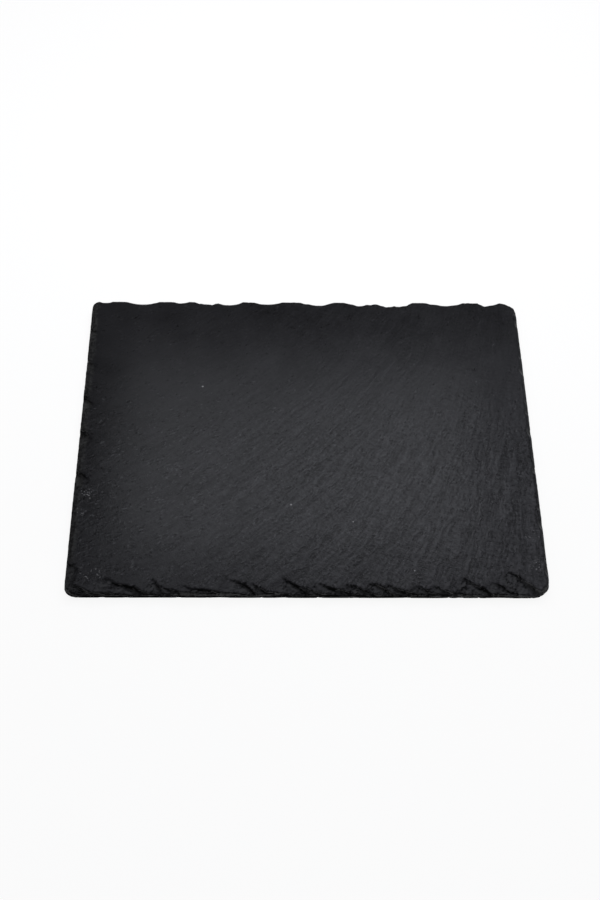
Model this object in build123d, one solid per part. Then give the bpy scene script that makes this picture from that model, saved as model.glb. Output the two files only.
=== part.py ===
"""A rectangular serving board of natural slate with hand-dressed edges, standing on four stick-on feet.

Millimetres, +Z up. X runs along the length and Y from front to back. The origin is on the table, under
the middle of the board.
"""

import os
from itertools import cycle
from math import hypot, radians, tan
from typing import NamedTuple

from build123d import *

# The slab. Its length and width are those of the underside, which the dressing left nearly whole.
board_length = 300.0
board_width = 250.0
slab_thickness = 6.0
edge_slope = 6.0  # degrees that the cut faces lean in towards the top
edge_break_in = 0.8  # the broken top edge, measured along the top face
edge_break_down = 0.7  # and down the cut face
right_bevel_in = 2.4  # the dressed bevels, measured in from the outline along the top face
right_bevel_down = 1.8  # and down from the top face at the outline
left_bevel_in = 2.6
left_bevel_down = 1.9
front_left_corner = 8.0  # corner radii of the underside
front_right_corner = 11.0
back_right_corner = 12.0
back_left_corner = 6.0
corner_margin = 4.0  # no flake has its foot or its middle nearer than this to the end of its side

# Split flakes have a flat floor, which runs out to nothing at one end and is lowest at the other, at the
# foot of a straight wall. The wall runs slanting in from the edge to the head of the flake.
wall_lean = 18.0  # degrees that a wall leans back from upright
head_step = 0.3  # height of the wall at its head
feather_lift = 0.1  # how far above the top face the floor starts, so that it runs out before its end

# Stick-on feet: foam pads, each held by a disc of adhesive.
pad_diameter = 15.0
pad_thickness = 1.8
pad_rim_bevel = 0.4
adhesive_thickness = 0.2
adhesive_margin = 0.3  # from the adhesive's rim out to the pad's
foot_inset = 28.0  # from the two cut edges of a corner to the middle of its foot


class Split(NamedTuple):
    """One split flake. A place along a side is that of the foot of its wall."""

    step: float  # from the place of the flake before it, or from the end of the side
    run: float  # along the edge, from the foot of the wall to its head
    reach: float  # how far in from the edge the head is
    depth: float  # how far below the top face the foot of the wall is
    fade: float = 10.0  # along the edge, from the head to where the floor starts


class Shell(NamedTuple):
    """One shell, scooped out of the edge. Its place is that of its middle."""

    step: float  # from the place of the shell before it, or from the end of the side
    run: float  # half its length along the edge
    reach: float  # how far in from the edge it goes
    depth: float  # how far below the top face it is lowest, at the edge


# Each side is read from its left end, as someone standing outside that side sees it. A side that is longer
# than its list starts the list again.
front_splits = [
    Split(17, 11, 5.5, 5.4),
    Split(32, 24, 11, 4.2, fade=16),
    Split(12, 7, 9.8, 3.6),
    Split(11.5, 13, 4.8, 3.2),
    Split(25, 22, 4.4, 2.8),
    Split(21, 16, 10.2, 3.8),
    Split(6, 9, 6.4, 3.8),
    Split(25.5, 15, 10.4, 4.8),
    Split(7, 12, 5.2, 3.6),
    Split(19.5, 21, 7.6, 4.4),
    Split(15, 18.5, 6.2, 4.2),
    Split(11, 15.5, 8.4, 4.6),
    Split(11, 14, 6.5, 4.4),
    Split(12.5, 8.5, 5, 3.6),
    Split(13.5, 12, 4.6, 3.8),
    Split(23, 18, 11.8, 4.6),
    Split(17.5, 19.5, 8.7, 4),
    Split(13, 20, 17, 4.8),
]
left_splits = [
    Split(25, 6, 7, 4.2),
    Split(31, 7, 6.8, 4.2),
    Split(34, 8, 8, 5),
    Split(30, 8, 8.6, 5.2),
    Split(34, 7, 9.4, 5.2),
    Split(73, 6.5, 6.8, 3.6, fade=30),
]
right_shells = [
    Shell(17, 5, 3.1, 2.6),
    Shell(9, 4, 2.9, 2.2),
    Shell(28, 7, 3.6, 3),
    Shell(13, 4.5, 3, 2.3),
    Shell(31, 6, 3.3, 2.7),
    Shell(10, 4, 2.9, 2.1),
    Shell(23, 8, 3.9, 3.2),
]
back_shells = [
    Shell(20, 8, 4, 5.4),
    Shell(31, 15, 4.8, 5),
    Shell(31, 9, 5, 5.2),
    Shell(10, 10, 5.6, 5.8),
    Shell(16, 17, 3.8, 4.2),
    Shell(4, 8, 4.6, 5),
    Shell(29, 14, 4.2, 4.6),
    Shell(35, 13, 3.2, 3.6),
    Shell(27, 11, 4.2, 4.4),
    Shell(15, 11, 4.2, 4.6),
    Shell(19, 7, 2.6, 3),
    Shell(27, 14, 3.6, 4),
    Shell(26, 6, 2.6, 2.6),
]

# Heights that follow from the sizes above
underside = pad_thickness + adhesive_thickness
top_face = underside + slab_thickness


def outline():
    """The underside's outline: a rectangle with a radius of its own at each corner."""
    radii = {
        (-1, -1): front_left_corner,
        (1, -1): front_right_corner,
        (1, 1): back_right_corner,
        (-1, 1): back_left_corner,
    }
    sheet = Rectangle(board_length, board_width)
    for (side_x, side_y), radius in radii.items():
        corner = Vector(side_x * board_length / 2, side_y * board_width / 2)
        sheet = fillet(sheet.vertices().sort_by_distance(corner)[0], radius)
    return sheet


def bevel_cutter(length, bevel_in, bevel_down):
    """A block lying on the bevel of one side."""
    bevel = Plane((length / 2, bevel_in, 0), x_dir=(1, 0, 0), z_dir=(0, -bevel_down, bevel_in))
    block = Box(2 * length, 4 * bevel_in, slab_thickness, align=(Align.CENTER, Align.CENTER, Align.MIN))
    return bevel * block


def split_cutter(foot, flake, wall_end):
    """A block lying on a split flake's floor, with one face on its wall. wall_end is 1 for a wall at the
    right end of the flake and -1 for one at the left."""
    wall_foot = Vector(foot, 0, -flake.depth)
    head = Vector(foot - wall_end * flake.run, flake.reach, -head_step)
    feather = Vector(foot - wall_end * (flake.run + flake.fade), 0, feather_lift)
    up_the_wall = head - wall_foot
    floor = Plane(wall_foot, x_dir=up_the_wall, z_dir=up_the_wall.cross(feather - wall_foot) * wall_end)
    block_size = 4 * (flake.run + flake.reach + flake.fade)
    over_wall = slab_thickness * tan(radians(wall_lean))
    section = Polygon(
        (0, 0),
        (wall_end * block_size, 0),
        (wall_end * block_size, slab_thickness),
        (-wall_end * over_wall, slab_thickness),
        align=None,
    )
    return floor * extrude(Plane.YZ * section, block_size / 2, both=True)


def shell_cutter(middle, flake):
    """A ball that leaves a shallow shell, open to the top face and to the cut face."""
    out = (flake.run**2 - flake.reach**2) / (2 * flake.reach)  # from the edge out to the ball's middle
    up = (flake.run**2 - flake.depth**2) / (2 * flake.depth)  # and up to it from the top face
    return Pos(middle, -out, up) * Sphere(hypot(flake.run, out, up))


def flakes_along(length, flakes):
    """Each flake of one side with its place, in turn, as often as the side takes."""
    place = 0.0
    for flake in cycle(flakes):
        place += flake.step
        if place > length - corner_margin:
            return
        yield place, flake


def edge_cutters():
    """The cutters of all sides, made on planes whose X runs along the edge and whose Y points inwards."""
    x, y = board_length / 2, board_width / 2
    front = Plane((-x, -y, top_face), x_dir=(1, 0, 0), z_dir=(0, 0, 1))
    right = Plane((x, -y, top_face), x_dir=(0, 1, 0), z_dir=(0, 0, 1))
    back = Plane((x, y, top_face), x_dir=(-1, 0, 0), z_dir=(0, 0, 1))
    left = Plane((-x, y, top_face), x_dir=(0, -1, 0), z_dir=(0, 0, 1))
    cutters = [
        right * bevel_cutter(board_width, right_bevel_in, right_bevel_down),
        left * bevel_cutter(board_width, left_bevel_in, left_bevel_down),
    ]
    for place, flake in flakes_along(board_length, front_splits):
        cutters.append(front * split_cutter(place, flake, 1))
    for place, flake in flakes_along(board_width, left_splits):
        cutters.append(left * split_cutter(place, flake, -1))
    for place, flake in flakes_along(board_width, right_shells):
        cutters.append(right * shell_cutter(place, flake))
    for place, flake in flakes_along(board_length, back_shells):
        cutters.append(back * shell_cutter(place, flake))
    return cutters


def slate_slab():
    """The riven slab: cut faces that lean in, a broken top edge, two bevels, and the flakes knocked off."""
    slab = extrude(Plane.XY.offset(underside) * outline(), slab_thickness, taper=edge_slope)
    top = slab.faces().sort_by(Axis.Z)[-1]
    slab = chamfer(top.edges(), edge_break_down, edge_break_in)
    for cutter in edge_cutters():
        slab -= cutter
    return slab


def foam_pad():
    """One foot: a disc die-cut from foam sheet, with its rim eased where it meets the table."""
    pad = Cylinder(pad_diameter / 2, pad_thickness, align=(Align.CENTER, Align.CENTER, Align.MIN))
    return chamfer(pad.edges().sort_by(Axis.Z)[0], pad_rim_bevel)


def adhesive_disc():
    """The film between a pad and the slate."""
    radius = pad_diameter / 2 - adhesive_margin
    film = Cylinder(radius, adhesive_thickness, align=(Align.CENTER, Align.CENTER, Align.MIN))
    return Pos(0, 0, pad_thickness) * film


def main():
    os.makedirs("parts", exist_ok=True)
    nodes = {"slate_slab": slate_slab()}
    foot_x = board_length / 2 - foot_inset
    foot_y = board_width / 2 - foot_inset
    for row, side_y in (("front", -1), ("back", 1)):
        for hand, side_x in (("left", -1), ("right", 1)):
            place = Pos(side_x * foot_x, side_y * foot_y)
            nodes[f"foot_pad_{row}_{hand}"] = place * foam_pad()
            nodes[f"adhesive_disc_{row}_{hand}"] = place * adhesive_disc()
    for name, solid in nodes.items():
        export_step(solid, f"parts/{name}.step")


main()
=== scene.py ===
from itertools import product
from math import cos, pi, radians, sin

import bmesh
import bpy
import numpy as np
from mathutils import Matrix, Vector


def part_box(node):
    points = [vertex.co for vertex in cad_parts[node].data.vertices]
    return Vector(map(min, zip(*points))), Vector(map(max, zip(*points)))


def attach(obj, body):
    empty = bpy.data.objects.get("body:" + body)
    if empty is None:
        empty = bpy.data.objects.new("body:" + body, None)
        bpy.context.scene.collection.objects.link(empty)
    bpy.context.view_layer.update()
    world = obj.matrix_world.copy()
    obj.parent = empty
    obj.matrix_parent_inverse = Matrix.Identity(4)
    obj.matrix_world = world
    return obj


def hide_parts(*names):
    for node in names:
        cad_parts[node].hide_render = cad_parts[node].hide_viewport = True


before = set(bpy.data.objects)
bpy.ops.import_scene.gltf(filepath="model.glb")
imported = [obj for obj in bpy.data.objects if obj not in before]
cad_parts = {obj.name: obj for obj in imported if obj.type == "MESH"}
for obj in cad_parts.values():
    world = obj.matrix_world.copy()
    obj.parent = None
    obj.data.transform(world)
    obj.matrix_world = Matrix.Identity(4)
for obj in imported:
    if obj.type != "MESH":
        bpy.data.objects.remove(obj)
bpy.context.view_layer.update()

mm = 0.001
scene = bpy.context.scene
scene.view_settings.view_transform = "Standard"
print("frame loaded:", len(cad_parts), "solids")


# Camera
viewpoint = {
    "place": (-18.8, -703.2, 845.2),  # mm
    "pitch": 50.438,  # degrees below the horizon
    "yaw": 1.23,
    "roll": 1.11,
    "lens": 66.27,
    "sensor": 36,  # mm, along the picture's long side
}


def makeCamera(spec):
    pitch, yaw, roll = (radians(spec[key]) for key in ("pitch", "yaw", "roll"))
    ahead = Vector((sin(yaw) * cos(pitch), cos(yaw) * cos(pitch), -sin(pitch)))
    right = Vector((cos(yaw), -sin(yaw), 0))
    facing = Matrix((right, right.cross(ahead), -ahead)).transposed()
    camera = bpy.data.objects.new("camera", bpy.data.cameras.new("camera"))
    scene.collection.objects.link(camera)
    camera.matrix_world = facing.to_4x4() @ Matrix.Rotation(roll, 4, "Z")
    camera.location = Vector(spec["place"]) * mm
    camera.data.sensor_width = spec["sensor"]
    camera.data.lens = spec["lens"]
    scene.camera = camera


makeCamera(viewpoint)
print("camera set")


# Shader maths
class Wire:
    def __init__(self, recipe, socket):
        self.recipe = recipe
        self.socket = socket

    def join(self, operation, first, second):
        kind = "ShaderNodeMath"
        if self.socket.type == "VECTOR":
            kind = "ShaderNodeVectorMath"
            first, second = threefold(first), threefold(second)
        return self.recipe.node(kind, {"operation": operation}, {0: first, 1: second})

    def __add__(self, other):
        return self.join("ADD", self, other)

    def __radd__(self, other):
        return self.join("ADD", other, self)

    def __sub__(self, other):
        return self.join("SUBTRACT", self, other)

    def __rsub__(self, other):
        return self.join("SUBTRACT", other, self)

    def __mul__(self, other):
        return self.join("MULTIPLY", self, other)

    def __rmul__(self, other):
        return self.join("MULTIPLY", other, self)

    def __truediv__(self, other):
        return self.join("DIVIDE", self, other)

    def __rtruediv__(self, other):
        return self.join("DIVIDE", other, self)

    def __pow__(self, other):
        return self.join("POWER", self, other)

    def __rpow__(self, other):
        return self.join("POWER", other, self)


def threefold(side):  # a bare number stands for three alike
    return side if isinstance(side, (Wire, tuple)) else (side,) * 3


class Recipe:
    def __init__(self, name):
        self.material = bpy.data.materials.new(name)
        self.material.use_nodes = True
        self.tree = self.material.node_tree
        self.tree.nodes.clear()

    def node(self, kind, settings=None, inputs=None, output=0):
        made = self.tree.nodes.new(kind)
        for key, value in (settings or {}).items():
            setattr(made, key, value)
        for key, value in (inputs or {}).items():
            if isinstance(value, Wire):
                self.tree.links.new(value.socket, made.inputs[key])
            else:
                made.inputs[key].default_value = value
        return Wire(self, made.outputs[output])

    def place(self):  # millimetres in the board's own frame
        return self.node("ShaderNodeTexCoord", output="Object") * (1 / mm)

    def noise(self, place, size, detail=2, roughness=0.5):
        inputs = {"Vector": place, "Scale": 1 / size, "Detail": detail, "Roughness": roughness}
        return self.node("ShaderNodeTexNoise", {"normalize": True}, inputs)

    def cells(self, place, size):
        inputs = {"Vector": place, "Scale": 1 / size}
        return self.node("ShaderNodeTexVoronoi", {"feature": "SMOOTH_F1"}, inputs, "Distance")

    def between(self, value, low, high):  # 0 at low, 1 at high, eased
        inputs = {"Value": value, "From Min": low, "From Max": high}
        return self.node("ShaderNodeMapRange", {"interpolation_type": "SMOOTHSTEP"}, inputs)

    def sway(self, place, size, reach):  # the place, shifted a little this way and that
        inputs = {"Vector": place, "Scale": 1 / size, "Detail": 1}
        drift = self.node("ShaderNodeTexNoise", {"normalize": True}, inputs, "Color")
        drift = self.node("ShaderNodeVectorMath", {"operation": "SUBTRACT"}, {0: drift, 1: (0.5, 0.5, 0.5)})
        return place + drift * (2 * reach)

    def distance(self, place, point):
        inputs = {0: place, 1: point}
        return self.node("ShaderNodeVectorMath", {"operation": "DISTANCE"}, inputs, "Value")

    def tint(self, share, first, second):
        inputs = {0: share, 6: first, 7: second}
        return self.node("ShaderNodeMix", {"data_type": "RGBA"}, inputs, 2)

    def parts(self, vector):
        return [self.node("ShaderNodeSeparateXYZ", None, {0: vector}, axis) for axis in range(3)]

    def bump(self, height, depth):  # depth in millimetres
        inputs = {"Height": height, "Distance": depth * mm, "Strength": 1}
        return self.node("ShaderNodeBump", None, inputs)

    def surface(self, inputs):
        return self.node("ShaderNodeBsdfPrincipled", None, inputs)

    def finish(self, shader):
        made = self.tree.nodes.new("ShaderNodeOutputMaterial")
        self.tree.links.new(shader.socket, made.inputs["Surface"])
        return self.material


# Slate slab. Sizes and places are in millimetres, and an upright of 1 faces straight up.
slab = {
    "weld": 0.001,  # points of the CAD mesh that are joined
    "voxel": 0.55,  # of the remesh
    "triangles": 340000,
    "thinning": {"upright": -0.8, "under": 1, "rest": 0.1},  # where the underside starts, and both weights
    "rimUpright": -0.7,  # a sharp edge runs round the faces below this
    # The grain of both riven faces
    "grain": {
        "pole": 160,  # at any place it leans towards this x,
        "rise": 186,  # so much further back
        "sway": (9, 2),  # how it wanders: size, reach
        "draw": 0.7,  # how far along it each streak is averaged, as a share of the streak's size
    },
    "streaks": ((2.0, 5, 0.015), (4.5, 15, 0.015)),  # size across, size along, height
    "layers": (15, 50, 0.03),  # thin layers: size across, size along, step
    "layerSpread": 1.4,
    "swell": (70, 0.1),  # slow waves: size, height
    "underCoarser": 1.3,  # streaks of the underside, against those of the top
    # The streaks of the top stand out more to the right and the front
    "clear": {"x": (-130, 60), "least": 0.25, "gain": 0.65, "y": (-40, 70), "backLoss": 0.76},
    "rivenDepth": (0.15, 0.6),  # below the top face, where the riven face gives way to the scars
    "rivenUpright": (0.3, 0.8),
    # Straight breaks wander between these distances from the outline
    "breaks": {"size": 7, "reach": 0.9, "from": (0.8, 4), "to": (14, 24), "finer": 2.7},
    "ledges": {  # on the flake scars, here and there
        "depth": 4.5,  # lowest scar below the top face
        "upright": (0.5, 0.85),
        "tread": 0.5,
        "waves": ((0.9, (11, 4)), (0.35, (3.5, 1.6))),  # height, and size along and across the edge
        "patches": (7, 0.35, 0.65),  # size, and the noise where they start and are full
        "ends": 12,  # so near the left and right, they run along Y
    },
    "cuts": {  # torn cut faces
        "upright": (0.45, 0.75),
        "hackle": (2.6, 0.35, 0.25),  # broken grain: size, flatness, depth
        "laminae": (12, 0.9, 0.45),  # layers: length, thickness, depth
        "laminaeNoise": (0.4, 0.6),
        "foot": (0.1, 0.9),  # both start this far above the underside
        "nicks": (3.6, 0.8),  # along the bottom edge: size, depth
        "nickNoise": (0.54, 0.76),
        "nickRise": (0.2, 1.6),
    },
    # Least upright of a riven face, of a flake's straight wall and of a shell; the rest is torn
    "faces": {"riven": 0.72, "wall": 0.22, "shell": 0.4, "wallsUpTo": (130, 110)},
    # Layout for baked textures: the strip that folds out round the top, the gaps, and the underside
    "chart": {"fold": 14, "gap": 2, "under": 0.8, "underUpright": -0.3, "underScale": 0.6},
    "grit": (0.9, 3, 0.6),  # noise: size, detail, roughness
    "mottle": (26, 3),
    "uneven": (0.12, 0.1),  # share of grit and mottle in the roughness
    "riven": {
        "tones": ((0.0010, 0.0010, 0.0014, 1), (0.0307, 0.0308, 0.0335, 1)),
        "rough": 0.14,
        "specular": 0.053,
        "bump": 0.12,
        "level": 0.38,  # of the tone where nothing marks it
        # Lines of the grain: size, places averaged along the grain, gap between those
        "lines": {
            "fine": (1.5, 4, 1.5),
            "broad": (2.9, 6, 3.5),
            "flow": (7.0, 4, 8.0),
            "marks": (1.3, 2, 1.0),
        },
        # the last share is that of the painted shade to the left, the back and in front
        "shares": {"fine": 2.9, "broad": 3.0, "flow": 1.2, "grit": 0.7, "mottle": 0.28, "paintedShade": 0.14},
        "marks": (230, 15),  # share in the patches, and everywhere
        "patches": (8, 2),  # noise
        "patchNoise": (0.4, 0.62),
        "leftShare": 0.25,  # of the lines
        # how much of the painted shade falls in front
        "frontShade": 0.5,
        "backLoss": {"tone": 0.82, "relief": 0.65},
        "backRough": 0.06,
        "relief": {"fine": (1.2, 0.8), "broad": 2.5, "grit": 0.4},
    },
    "torn": {
        "tones": ((0.0006, 0.0006, 0.0007, 1), (0.0520, 0.0520, 0.0530, 1)),
        "rough": 0.6,
        "specular": 0.08,
        "bump": 0.25,
    },
    # The flakes' straight walls: near black, a painted shadow as in a deep crack
    "wall": {
        "tones": ((0.0004, 0.0004, 0.0005, 1), (0.0030, 0.0030, 0.0033, 1)),
        "rough": 0.7,
        "specular": 0.04,
        "bump": 0.25,
    },
    "zones": {  # where a change of the riven face starts and is full
        "drawnOut": (-130, 40),  # x
        "plain": (-40, 70),  # y
        # the next four: where the painted shade of the riven face starts and is full
        "shadeLeft": (-85, -135),  # x
        "shadeBack": (50, 112),  # y
        "shadeFront": (-75, -105),  # y
        "shadeMiddle": (70, 0),  # x
        "belowTop": (7.5, 7.1),  # z
        "aboveFoot": (2.8, 3.4),  # z
        "paler": (10, 100),  # x, of the scars
        "leftScars": (-138, -142),  # x
        "leftEdge": (-143, -146),  # x
        "rightEdge": (132, 138),  # x
        "corner": (-98, -106),  # y, of the broken front left corner
    },
    "scars": {
        "tone": (0.0280, 0.0284, 0.0300, 1),
        "stretch": (0.5, 1, 1),
        "noise": (2.5, 3),
        "full": (0.42, 0.58),  # the noise where the tone starts and is full
        "share": (0.35, 0.75),  # what the right adds, and what all have
        # painted shade: the steep risers of the ledges keep a darker tone, by how upright they are
        "ledges": (0.95, 0.8),  # upright
        "steepShade": 0.6,
        "rough": 0.25,
    },
    "rightBevel": {"share": 0.45, "upright": (0.985, 0.93), "notUnder": (-0.9, -0.7)},
    "leftBand": {
        "tones": ((0.0040, 0.0040, 0.0042, 1), (0.0175, 0.0175, 0.0172, 1)),
        "ragged": (5, 3),  # noise of its inner edge
        "raggedReach": 7,
        "noise": (1.8, 3, 0.6),
        "full": (0.38, 0.62),
        "share": 0.9,
        "cornerLoss": 0.8,
        "rough": 0.1,
    },
    "chalk": {
        "tone": (0.17, 0.17, 0.175, 1),
        "dust": (1.25, 2),  # noise
        "dustFull": (0.58, 0.66),
        "clumps": (6, 1),  # noise
        "clumpsFull": (0.4, 0.55),
        "share": 0.75,
        "rough": 0.3,
        "scuffs": (  # x, y, reach
            (-133, -112, 11),
            (-141, -49, 7),
            (-145, -15, 4),
            (-144, -63, 5),
            (142, -80, 7),
            (143, -104, 6),
        ),
        "scuffCore": 0.2,  # share of the reach that is full
        "chips": ((-69.4, 43.9, 0.8), (29.4, -70.3, 0.7), (66.4, -108.2, 0.7), (-9.9, -56.8, 0.8)),
        "chipCore": 0.5,
    },
    "broken": {  # what the torn cuts and the walls share
        "strata": {"stretch": (0.08, 0.08, 0.6), "noise": (1, 3), "full": (0.42, 0.56), "share": 0.65},
        "chunks": {"stretch": (1, 1, 0.25), "noise": (3.4, 3), "full": (0.44, 0.56), "share": 0.6},
        "level": -0.15,
        "paler": (-20, 110),  # x
        "palerShare": 0.12,
        "grit": 0.6,
        "relief": 1.5,
    },
}


def ease(value, low, high):
    share = np.clip((value - low) / (high - low), 0, 1)
    return share * share * (3 - 2 * share)


def stair(level):  # flat treads with a short slope between them
    step = np.floor(level)
    return step + ease(level - step, 0.42, 0.58)


def lattice(place, seed):  # smooth random field, one value a unit, 0 to 1
    base = np.floor(place)
    share = place - base
    share = share * share * share * (share * (share * 6 - 15) + 10)
    base = base.astype(np.int64)
    total = 0
    for corner in product((0, 1), repeat=place.shape[1]):
        mixed = np.full(len(place), seed * 2654435761 % 2**32, np.uint64)  # scrambles seed and cell
        weight = 1
        for axis, side in enumerate(corner):
            cell = (base[:, axis] + side + 100000).astype(np.uint64)
            mixed = ((mixed ^ cell) * np.uint64(0x9E3779B97F4A7C15)) ^ (mixed >> np.uint64(29))
            weight = weight * (share[:, axis] if side else 1 - share[:, axis])
        mixed ^= mixed >> np.uint64(32)
        mixed *= np.uint64(0xD6E8FEB86659FD93)
        mixed ^= mixed >> np.uint64(32)
        total = total + weight * ((mixed >> np.uint64(11)).astype(float) / 2**53)
    return total


def streaks(flat, across, along, seed):  # noise drawn out along the grain, with a spread of 1
    grain = slab["grain"]
    lean = np.stack([grain["pole"] - flat[:, 0], np.full(len(flat), grain["rise"])], 1)
    lean /= np.linalg.norm(lean, axis=1)[:, None]
    size, reach = grain["sway"]
    drift = np.stack([lattice(flat / size, seed + 200), lattice(flat / size, seed + 300)], 1)
    flat = flat + 2 * reach * (drift - 0.5)
    total = 0
    for tap in np.linspace(-1, 1, 2 * int(along / across) + 3):
        shifted = flat + lean * tap * along * grain["draw"]
        total = total + (1 + cos(pi * tap)) * lattice(shifted / across, seed)
    return (total - total.mean()) / total.std()


def rivenFace(flat, clear, coarser, swellSeed, streakSeed, layerSeed):
    size, height = slab["swell"]
    relief = height * 2 * (lattice(flat / size, swellSeed) - 0.5)
    for seed, (across, along, tall) in enumerate(slab["streaks"], streakSeed):
        relief = relief + tall * clear * streaks(flat, across * coarser, along, seed)
    across, along, step = slab["layers"]
    return relief + step * clear * stair(slab["layerSpread"] * streaks(flat, across, along, layerSeed))


def rivenTop(flat):
    spec = slab["clear"]
    clear = spec["least"] + spec["gain"] * ease(flat[:, 0], *spec["x"])
    clear = clear * (1 - spec["backLoss"] * ease(flat[:, 1], *spec["y"]))
    return rivenFace(flat, clear, coarser=1, swellSeed=3, streakSeed=10, layerSeed=20)


def rivenUnder(flat):
    return rivenFace(flat, 1, slab["underCoarser"], swellSeed=5, streakSeed=30, layerSeed=40)


def read(values, kind, count):
    flat = np.empty(count * 3, np.float32)
    values.foreach_get(kind, flat)
    return flat.reshape(-1, 3).astype(float)


def slabBox():
    return [np.array(corner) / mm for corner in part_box("slate_slab")]


def applied(block):
    made = bpy.data.meshes.new_from_object(block.evaluated_get(bpy.context.evaluated_depsgraph_get()))
    bpy.data.objects.remove(block)
    return made


def remeshed(node):
    draft = bmesh.new()
    draft.from_mesh(node.data)
    bmesh.ops.remove_doubles(draft, verts=draft.verts, dist=slab["weld"] * mm)
    draft.transform(node.matrix_world)
    mesh = bpy.data.meshes.new("draft")
    draft.to_mesh(mesh)
    draft.free()
    block = bpy.data.objects.new("draft", mesh)
    scene.collection.objects.link(block)
    remesh = block.modifiers.new("remesh", "REMESH")
    remesh.mode = "VOXEL"
    remesh.voxel_size = slab["voxel"] * mm
    return applied(block)


def wanderBreaks(place, moved):  # the outline stays
    spec = slab["breaks"]
    low, high = slabBox()
    rim = np.minimum(place[:, :2] - low[:2], high[:2] - place[:, :2]).min(1)
    edge = np.flatnonzero(rim < spec["to"][1])
    free = ease(rim[edge], *spec["from"]) * (1 - ease(rim[edge], *spec["to"]))
    cells = place[edge] / spec["size"]
    for axis in (0, 1):
        wander = lattice(cells, 70 + axis) + 0.5 * lattice(cells * spec["finer"], 72 + axis)
        moved[edge, axis] += spec["reach"] * 2 * (wander - 0.75) * free  # 0.75 is its mean


def splitTop(place, up, moved):
    spec = slab["ledges"]
    high = slabBox()[1]
    depth = high[2] - place[:, 2]
    top = np.flatnonzero((up > slab["rivenUpright"][0]) & (depth < spec["depth"]))
    flat = place[top, :2]
    relief = rivenTop(flat)
    riven = 1 - ease(depth[top], *slab["rivenDepth"])
    moved[top, 2] += (relief - relief.max()) * riven * ease(up[top], *slab["rivenUpright"])

    # Ledges follow the edge that they lie at
    scar = (1 - riven) * ease(up[top], *spec["upright"])
    ends = np.abs(flat[:, 0]) > high[0] - spec["ends"]
    along = np.where(ends[:, None], flat[:, ::-1], flat)
    wobble = 0
    for seed, (height, size) in enumerate(spec["waves"], 50):
        wobble = wobble + height * lattice(along / size, seed)
    ledge = stair((moved[top, 2] + wobble) / spec["tread"]) * spec["tread"] - wobble
    size, start, full = spec["patches"]
    here = ease(lattice(flat / size, 52), start, full)
    moved[top, 2] += (ledge - moved[top, 2]) * here * scar


def splitUnderside(place, up, moved):
    low = slabBox()[0]
    start = slab["rivenUpright"][0]
    under = np.flatnonzero((up < -start) & (place[:, 2] < low[2] + slab["rivenDepth"][1]))
    relief = rivenUnder(place[under, :2])
    moved[under, 2] += (relief - relief.min()) * ease(-up[under], *slab["rivenUpright"])


def tearCuts(place, facing, moved):  # always inwards
    spec = slab["cuts"]
    up = facing[:, 2]
    side = np.flatnonzero(np.abs(up) < spec["upright"][1])
    away = facing[side] * (1, 1, 0)
    away /= np.maximum(np.linalg.norm(away, axis=1), 1e-6)[:, None]
    cut = 1 - ease(np.abs(up[side]), *spec["upright"])
    rise = place[side, 2] - slabBox()[0][2]
    size, flatness, depth = spec["hackle"]
    inwards = depth * lattice(place[side] / (size, size, size * flatness), 60)
    size, thick, depth = spec["laminae"]
    layers = lattice(place[side] / (size, size, thick), 61)
    inwards = inwards + depth * ease(layers, *spec["laminaeNoise"])
    inwards = inwards * cut * ease(rise, *spec["foot"])
    size, depth = spec["nicks"]
    nick = ease(lattice(place[side] / size, 62), *spec["nickNoise"]) * (1 - ease(rise, *spec["nickRise"]))
    inwards = inwards + depth * nick * cut
    moved[side] -= away * inwards[:, None]


def cleave(mesh):
    count = len(mesh.vertices)
    place = read(mesh.vertices, "co", count) / mm
    facing = read(mesh.vertex_normals, "vector", count)
    moved = place.copy()
    wanderBreaks(place, moved)
    splitTop(place, facing[:, 2], moved)
    splitUnderside(place, facing[:, 2], moved)
    tearCuts(place, facing, moved)
    mesh.vertices.foreach_set("co", (moved * mm).astype(np.float32).ravel())
    mesh.update()


def thinned(mesh):  # the underside most
    spec = slab["thinning"]
    block = bpy.data.objects.new("draft", mesh)
    scene.collection.objects.link(block)
    mesh.calc_loop_triangles()
    up = read(mesh.vertex_normals, "vector", len(mesh.vertices))[:, 2]
    group = block.vertex_groups.new(name="under")
    group.add(np.flatnonzero(up < spec["upright"]).tolist(), spec["under"], "REPLACE")
    group.add(np.flatnonzero(up >= spec["upright"]).tolist(), spec["rest"], "REPLACE")
    thin = block.modifiers.new("thin", "DECIMATE")
    thin.ratio = slab["triangles"] / len(mesh.loop_triangles)
    thin.vertex_group = "under"
    thin.use_collapse_triangulate = True
    return applied(block)


def sharpRim(mesh):  # where the underside meets the cut faces
    edge = np.empty(len(mesh.loops), np.int32)
    mesh.loops.foreach_get("edge_index", edge)
    up = read(mesh.polygons, "normal", len(mesh.polygons))[:, 2]
    under = np.repeat(up < slab["rimUpright"], 3)
    rim = np.bincount(edge, under, len(mesh.edges)) == 1
    mesh.edges.foreach_set("use_edge_sharp", rim)


def grainLean(recipe, x):  # which way the grain runs
    grain = slab["grain"]
    leanX = grain["pole"] - x
    length = (leanX * leanX + grain["rise"] ** 2) ** 0.5
    return recipe.node("ShaderNodeCombineXYZ", None, {0: leanX / length, 1: grain["rise"] / length})


def grainLine(recipe, along, lean, line):  # noise averaged at places along the grain, about 0
    size, taps, gap = line
    total = 0
    for tap in range(taps):
        shift = lean * ((tap - (taps - 1) / 2) * gap)
        total = recipe.noise(along + shift, size, 1) / taps + total
    return total - 0.5


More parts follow.
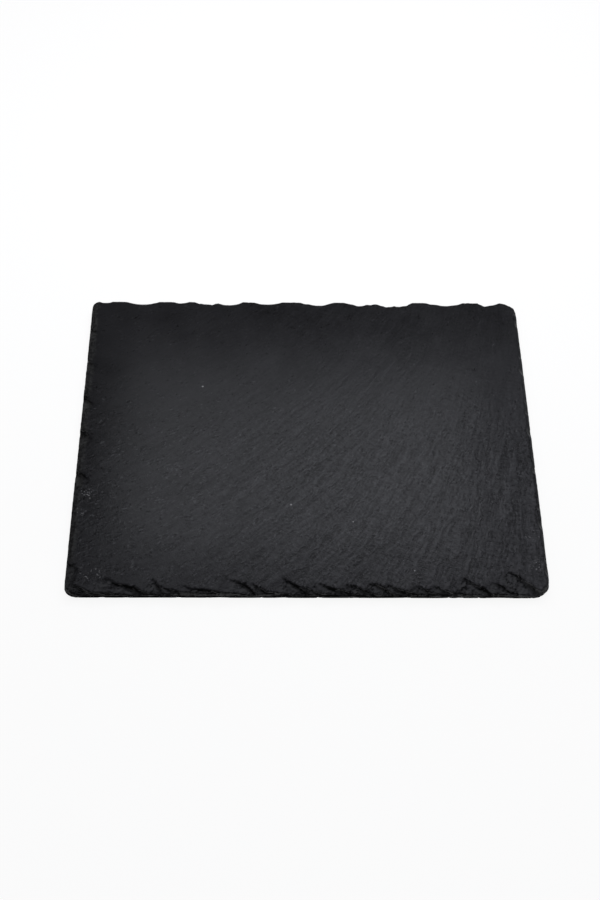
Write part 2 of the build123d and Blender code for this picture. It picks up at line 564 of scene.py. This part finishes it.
def grained(recipe, place, grit, mottle):  # colour, relief and added roughness of a riven face
    spec, zones = slab["riven"], slab["zones"]
    x, y = recipe.parts(place)[:2]
    lean = grainLean(recipe, x)
    along = recipe.sway(place, *slab["grain"]["sway"])
    lines = {name: grainLine(recipe, along, lean, line) for name, line in spec["lines"].items()}
    fine, broad, flow, marks = lines["fine"], lines["broad"], lines["flow"], lines["marks"]
    patches = recipe.between(recipe.noise(place, *spec["patches"]), *spec["patchNoise"])  # of short marks
    right = recipe.between(x, *zones["drawnOut"])
    back = recipe.between(y, *zones["plain"])

    shares = spec["shares"]
    inPatches, everywhere = spec["marks"]
    tone = fine * shares["fine"] + broad * shares["broad"] + flow * shares["flow"]
    tone = tone * (right * (1 - spec["leftShare"]) + spec["leftShare"])
    tone = tone + marks * marks * marks * (patches * inPatches + everywhere) + grit * shares["grit"]
    tone = tone * (1 - back * spec["backLoss"]["tone"])

    # Painted shade: darker to the left and the back, and a little in front, where the light falls off
    unshaded = (1 - recipe.between(x, *zones["shadeLeft"])) * (1 - recipe.between(y, *zones["shadeBack"]))
    front = recipe.between(y, *zones["shadeFront"]) * recipe.between(x, *zones["shadeMiddle"])
    paintedShade = 1 - unshaded * (1 - front * spec["frontShade"])
    tone = tone + mottle * shares["mottle"] + spec["level"] - paintedShade * shares["paintedShade"]
    stone = recipe.tint(tone, *spec["tones"])

    gain, least = spec["relief"]["fine"]
    relief = fine * (right * gain + least) + broad * right * spec["relief"]["broad"]
    relief = relief + grit * spec["relief"]["grit"] + marks * patches
    relief = relief * (1 - back * spec["backLoss"]["relief"])
    return stone, relief, back * spec["backRough"]


def scarred(recipe, place, stone):  # colour and added roughness, with pale scars and dressed edges
    scars, bevel, band, zones = slab["scars"], slab["rightBevel"], slab["leftBand"], slab["zones"]
    x, y, z = recipe.parts(place)
    upright = recipe.parts(recipe.node("ShaderNodeNewGeometry", output="Normal"))[2]
    scar = recipe.between(z, *zones["belowTop"]) * recipe.between(z, *zones["aboveFoot"])
    corner = recipe.between(y, *zones["corner"])  # paler than the left edge
    rightEdge = recipe.between(x, *zones["rightEdge"])
    leftScars = recipe.between(x, *zones["leftScars"]) * (1 - corner)

    gain, least = scars["share"]
    pale = recipe.between(recipe.noise(place * scars["stretch"], *scars["noise"]), *scars["full"])
    pale = pale * (recipe.between(x, *zones["paler"]) * gain + least)
    # painted shade: steep ledge risers lose the pale tone and stay darker
    pale = pale * scar * (1 - recipe.between(upright, *scars["ledges"]) * scars["steepShade"])
    bevelled = recipe.between(upright, *bevel["upright"]) * recipe.between(upright, *bevel["notUnder"])
    pale = pale * (1 - rightEdge) * (1 - leftScars) + rightEdge * bevel["share"] * bevelled
    stone = recipe.tint(pale, stone, scars["tone"])

    ragged = (recipe.noise(place, *band["ragged"]) - 0.5) * band["raggedReach"]
    leftEdge = recipe.between(x + ragged, *zones["leftEdge"]) * (1 - corner * band["cornerLoss"])
    flecks = recipe.between(recipe.noise(place, *band["noise"]), *band["full"])
    stone = recipe.tint(leftEdge * band["share"], stone, recipe.tint(flecks, *band["tones"]))
    return stone, scar * scars["rough"] + leftEdge * band["rough"]


def spots(recipe, place, marks, core):  # 1 at each mark on the top face, 0 from its reach on
    topFace = slabBox()[1][2]
    total = 0
    for x, y, reach in marks:
        apart = recipe.distance(place, (x, y, topFace))
        total = recipe.between(apart, reach, reach * core) + total
    return total


def chalked(recipe, place, stone):  # colour and added roughness, with dusty scuffs and small chips
    chalk = slab["chalk"]
    dust = recipe.between(recipe.noise(place, *chalk["dust"]), *chalk["dustFull"])
    dust = dust * recipe.between(recipe.noise(place, *chalk["clumps"]), *chalk["clumpsFull"])
    dust = dust * spots(recipe, place, chalk["scuffs"], chalk["scuffCore"])
    chips = spots(recipe, place, chalk["chips"], chalk["chipCore"])
    return recipe.tint(dust * chalk["share"] + chips, stone, chalk["tone"]), dust * chalk["rough"]


# the walls' near-black tones are painted shadow
def broken(recipe, place, grit, tones):  # colour and relief of the torn cuts and the walls
    spec = slab["broken"]
    x = recipe.parts(place)[0]
    strata, chunks = spec["strata"], spec["chunks"]
    layers = recipe.noise(place * strata["stretch"], *strata["noise"])
    lumps = recipe.noise(place * chunks["stretch"], *chunks["noise"])
    tone = recipe.between(layers, *strata["full"]) * strata["share"]
    tone = tone + recipe.between(lumps, *chunks["full"]) * chunks["share"] + spec["level"]
    tone = tone + recipe.between(x, *spec["paler"]) * spec["palerShare"] + grit * spec["grit"]
    return recipe.tint(tone, *tones), layers * spec["relief"] + grit


def slateMaterial(name, finish):
    recipe = Recipe(name)
    spec = slab[finish]
    place = recipe.place()
    grit = recipe.noise(place, *slab["grit"]) - 0.5
    mottle = recipe.noise(place, *slab["mottle"]) - 0.5
    gritRough, mottleRough = slab["uneven"]
    rough = spec["rough"] + grit * gritRough + mottle * mottleRough
    if finish == "riven":
        stone, relief, backRough = grained(recipe, place, grit, mottle)
        stone, scarRough = scarred(recipe, place, stone)
        stone, dustRough = chalked(recipe, place, stone)
        rough = rough + backRough + scarRough + dustRough
    else:
        stone, relief = broken(recipe, place, grit, spec["tones"])
    return recipe.finish(recipe.surface({
        "Base Color": stone,
        "Roughness": rough,
        "Specular IOR Level": spec["specular"],
        "Normal": recipe.bump(relief, spec["bump"]),
    }))


def finishFaces(mesh):
    for finish in ("riven", "wall", "torn"):
        mesh.materials.append(slateMaterial(finish + "Slate", finish))
    spec = slab["faces"]
    count = len(mesh.polygons)
    upright = np.abs(read(mesh.polygons, "normal", count)[:, 2])
    middle = read(mesh.polygons, "center", count) / mm
    walled = (middle[:, :2] < spec["wallsUpTo"]).all(1)  # straight walls are in front and on the left
    # straight walls get the near-black finish, a painted shadow
    kinds = [upright > spec["riven"], (upright > spec["wall"]) & walled, upright > spec["shell"]]
    which = np.select(kinds, [0, 1, 0], 2)
    mesh.polygons.foreach_set("material_index", which.astype(np.int32))


def chart(mesh):  # for baked textures: the top with the cut faces folded out round it, and the underside
    spec = slab["chart"]
    count = len(mesh.polygons)
    upright = read(mesh.polygons, "normal", count)[:, 2]
    height = read(mesh.polygons, "center", count)[:, 2] / mm
    corner = np.empty(len(mesh.loops), np.int32)
    mesh.loops.foreach_get("vertex_index", corner)
    place = read(mesh.vertices, "co", len(mesh.vertices))[corner] / mm
    low, high = slabBox()
    core = np.clip(place[:, :2], low[:2] + spec["fold"], high[:2] - spec["fold"])
    out = place[:, :2] - core
    reach = np.linalg.norm(out, axis=1)[:, None]
    out = out / np.maximum(reach, 1e-6) * np.clip(reach / spec["fold"], 0, 1)
    margin = high[2] - low[2] + spec["gap"]
    flat = place[:, :2] - low[:2] + margin + out * (high[2] - place[:, 2])[:, None]
    under = np.repeat((upright < spec["underUpright"]) & (height < low[2] + spec["under"]), 3)
    above = high[1] - low[1] + 2 * margin
    flat[under] = (place[under, :2] - low[:2]) * spec["underScale"] + (margin, above)
    side = above + (high[1] - low[1]) * spec["underScale"] + margin
    layer = mesh.uv_layers.new(name="OFBake")
    layer.data.foreach_set("uv", (flat / side).astype(np.float32).ravel())


def makeSlab():
    mesh = remeshed(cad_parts["slate_slab"])
    print("slab remeshed:", len(mesh.vertices), "points")
    cleave(mesh)
    mesh = thinned(mesh)
    mesh.polygons.foreach_set("use_smooth", np.ones(len(mesh.polygons), bool))
    sharpRim(mesh)
    piece = bpy.data.objects.new("rivenSlab", mesh)
    scene.collection.objects.link(piece)
    mesh.materials.clear()
    finishFaces(mesh)
    chart(mesh)
    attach(piece, "root")
    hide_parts("slate_slab")
    print("slab cleft:", len(mesh.polygons), "triangles")


makeSlab()


# Feet: foam pads, and the film that holds them. Sizes are in millimetres.
feet = {
    "around": 96,
    "rim": 0.45,  # of the soft lower rim
    "rimStep": 15,  # degrees
    "bulge": 0.12,  # how far the cut side swells
    "foam": {
        "tones": ((0.010, 0.010, 0.011, 1), (0.022, 0.022, 0.023, 1)),
        "bubble": 0.32,
        "mottle": (3, 2),  # noise
        "shares": (0.7, 0.4),  # of bubbles and mottle in the tone
        "dust": (0.8, 3),  # noise
        "dustFull": (0.58, 0.75),
        "dustTone": (0.09, 0.088, 0.085, 1),
        "dustShare": 0.25,
        "rough": (0.78, 0.15),  # least, and what the mottle adds
        "specular": 0.25,
        "bump": 0.1,
    },
    "film": {
        "tones": ((0.55, 0.53, 0.47, 1), (0.66, 0.64, 0.58, 1)),
        "stretch": (1, 1, 4),
        "wrinkle": (2.4, 3),  # noise
        "rough": (0.35, 0.2),
        "bump": 0.05,
    },
}


def foamMaterial():
    spec = feet["foam"]
    recipe = Recipe("cellFoam")
    place = recipe.place()
    bubbles = recipe.cells(place, spec["bubble"])
    mottle = recipe.noise(place, *spec["mottle"])
    dust = recipe.between(recipe.noise(place, *spec["dust"]), *spec["dustFull"])
    bubbleShare, mottleShare = spec["shares"]
    least, gain = spec["rough"]
    foam = recipe.tint(bubbles * bubbleShare + mottle * mottleShare, *spec["tones"])
    foam = recipe.tint(dust * spec["dustShare"], foam, spec["dustTone"])
    return recipe.finish(recipe.surface({
        "Base Color": foam,
        "Roughness": least + mottle * gain,
        "Specular IOR Level": spec["specular"],
        "Normal": recipe.bump(bubbles, spec["bump"]),
    }))


def filmMaterial():
    spec = feet["film"]
    recipe = Recipe("adhesiveFilm")
    wrinkle = recipe.noise(recipe.place() * spec["stretch"], *spec["wrinkle"])
    least, gain = spec["rough"]
    return recipe.finish(recipe.surface({
        "Base Color": recipe.tint(wrinkle, *spec["tones"]),
        "Roughness": least + wrinkle * gain,
        "Normal": recipe.bump(wrinkle, spec["bump"]),
    }))


def padProfile(radius, tall):  # from the middle of the base, out and up to the middle of the top
    rim, bulge = feet["rim"], feet["bulge"]
    profile = [(radius * share, 0) for share in (0.2, 0.45, 0.7, 0.85)]
    for turn in range(0, 91, feet["rimStep"]):
        lift = radians(turn)
        profile.append((radius - rim - bulge + rim * sin(lift), rim - rim * cos(lift)))
    for share in (0.25, 0.5, 0.75, 1):  # the side
        profile.append((radius - bulge + bulge * sin(pi * share), rim + (tall - rim) * share))
    return profile + [(radius * share, tall) for share in (0.7, 0.3)]


def turnedMesh(profile, name):  # a round body, closed at both ends
    around = feet["around"]
    body = bmesh.new()
    rings = []
    for out, height in profile:
        ring = []
        for step in range(around):
            turn = 2 * pi * step / around
            ring.append(body.verts.new(Vector((out * cos(turn), out * sin(turn), height)) * mm))
        rings.append(ring)
    for inner, outer in zip(rings, rings[1:]):
        for step in range(around):
            after = (step + 1) % around
            body.faces.new((inner[step], inner[after], outer[after], outer[step]))
    for end in (0, -1):
        ring = rings[end]
        middle = body.verts.new((0, 0, profile[end][1] * mm))
        for step in range(around):
            body.faces.new((ring[step], ring[(step + 1) % around], middle))
    bmesh.ops.recalc_face_normals(body, faces=body.faces)
    for face in body.faces:
        face.smooth = True
    mesh = bpy.data.meshes.new(name)
    body.to_mesh(mesh)
    body.free()
    return mesh


def makePad(node, material):
    low, high = (Vector(corner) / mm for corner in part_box(node))
    name = node.replace("foot_pad", "foamPad")
    mesh = turnedMesh(padProfile((high.x - low.x) / 2, high.z - low.z), name)
    centre = (low + high) / 2
    mesh.transform(Matrix.Translation(Vector((centre.x, centre.y, low.z)) * mm))
    mesh.materials.append(material)
    piece = bpy.data.objects.new(name, mesh)
    scene.collection.objects.link(piece)
    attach(piece, "root")
    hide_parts(node)


def makeFeet():
    foam, film = foamMaterial(), filmMaterial()
    for row, hand in product(("front", "back"), ("left", "right")):
        makePad(f"foot_pad_{row}_{hand}", foam)
        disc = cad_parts[f"adhesive_disc_{row}_{hand}"]
        disc.data.materials.clear()
        disc.data.materials.append(film)
    print("feet made")


makeFeet()


# Floor and light
studio = {
    "floor": (0.86, 0.86, 0.86, 1),
    "floorReach": 10,  # metres
    "wallRise": 2.4,  # metres, of the pale walls round it
    "floorGlow": 0.9,  # share of the floor that is plain white to the camera
    "sky": 0.45,
    "glowLamp": {  # behind the board, sizes in mm
        "place": (-2, 265, 350),
        "aim": (-2, 265, 0),
        "turn": 0,  # degrees
        "size": (333, 220),
        "power": 0.97,  # watts
        "colour": (0.925, 0.95, 1),
    },
    "panel": {  # brightens the front right half of the board
        "place": (400, 812, 1500),
        "aim": (400, 812, 0),
        "turn": 32,
        "size": (1391, 1113),
        "power": 14,
        "colour": (0.89, 0.9, 1),
    },
}


def floorMaterial():
    recipe = Recipe("paleFloor")
    kinds = ("Camera", "Glossy", "Transmission")
    seen = [recipe.node("ShaderNodeLightPath", output=f"Is {kind} Ray") for kind in kinds]
    share = (seen[0] + seen[1] + seen[2]) * studio["floorGlow"]
    paint = recipe.node("ShaderNodeBsdfDiffuse", None, {"Color": studio["floor"]})
    white = recipe.node("ShaderNodeEmission", None, {"Strength": 1})
    return recipe.finish(recipe.node("ShaderNodeMixShader", None, {0: share, 1: paint, 2: white}))


def makeFloor():
    mesh = bpy.data.meshes.new("floor")
    reach = studio["floorReach"]
    square = ((-reach, -reach), (reach, -reach), (reach, reach), (-reach, reach))
    points = [(x, y, z) for z in (0, studio["wallRise"]) for x, y in square]
    walls = [(side, (side + 1) % 4, (side + 1) % 4 + 4, side + 4) for side in range(4)]
    mesh.from_pydata(points, [], [(0, 1, 2, 3)] + walls)
    mesh.materials.append(floorMaterial())
    floor = bpy.data.objects.new("floor", mesh)
    scene.collection.objects.link(floor)


def makeLamp(name):
    spec = studio[name]
    lamp = bpy.data.lights.new(name, "AREA")
    lamp.shape = "RECTANGLE"
    lamp.size, lamp.size_y = (side * mm for side in spec["size"])
    lamp.energy = spec["power"]
    lamp.color = spec["colour"]
    holder = bpy.data.objects.new(name, lamp)
    scene.collection.objects.link(holder)
    holder.location = Vector(spec["place"]) * mm
    facing = (Vector(spec["aim"]) - Vector(spec["place"])).to_track_quat("-Z", "Y").to_matrix()
    holder.rotation_euler = (facing @ Matrix.Rotation(radians(spec["turn"]), 3, "Z")).to_euler()
    holder.visible_camera = False


def makeSky():
    world = bpy.data.worlds.new("studio")
    world.use_nodes = True
    background = world.node_tree.nodes["Background"]
    background.inputs["Color"].default_value = (1, 1, 1, 1)
    background.inputs["Strength"].default_value = studio["sky"]
    scene.world = world


makeFloor()
makeSky()
makeLamp("glowLamp")
makeLamp("panel")
print("studio lit")
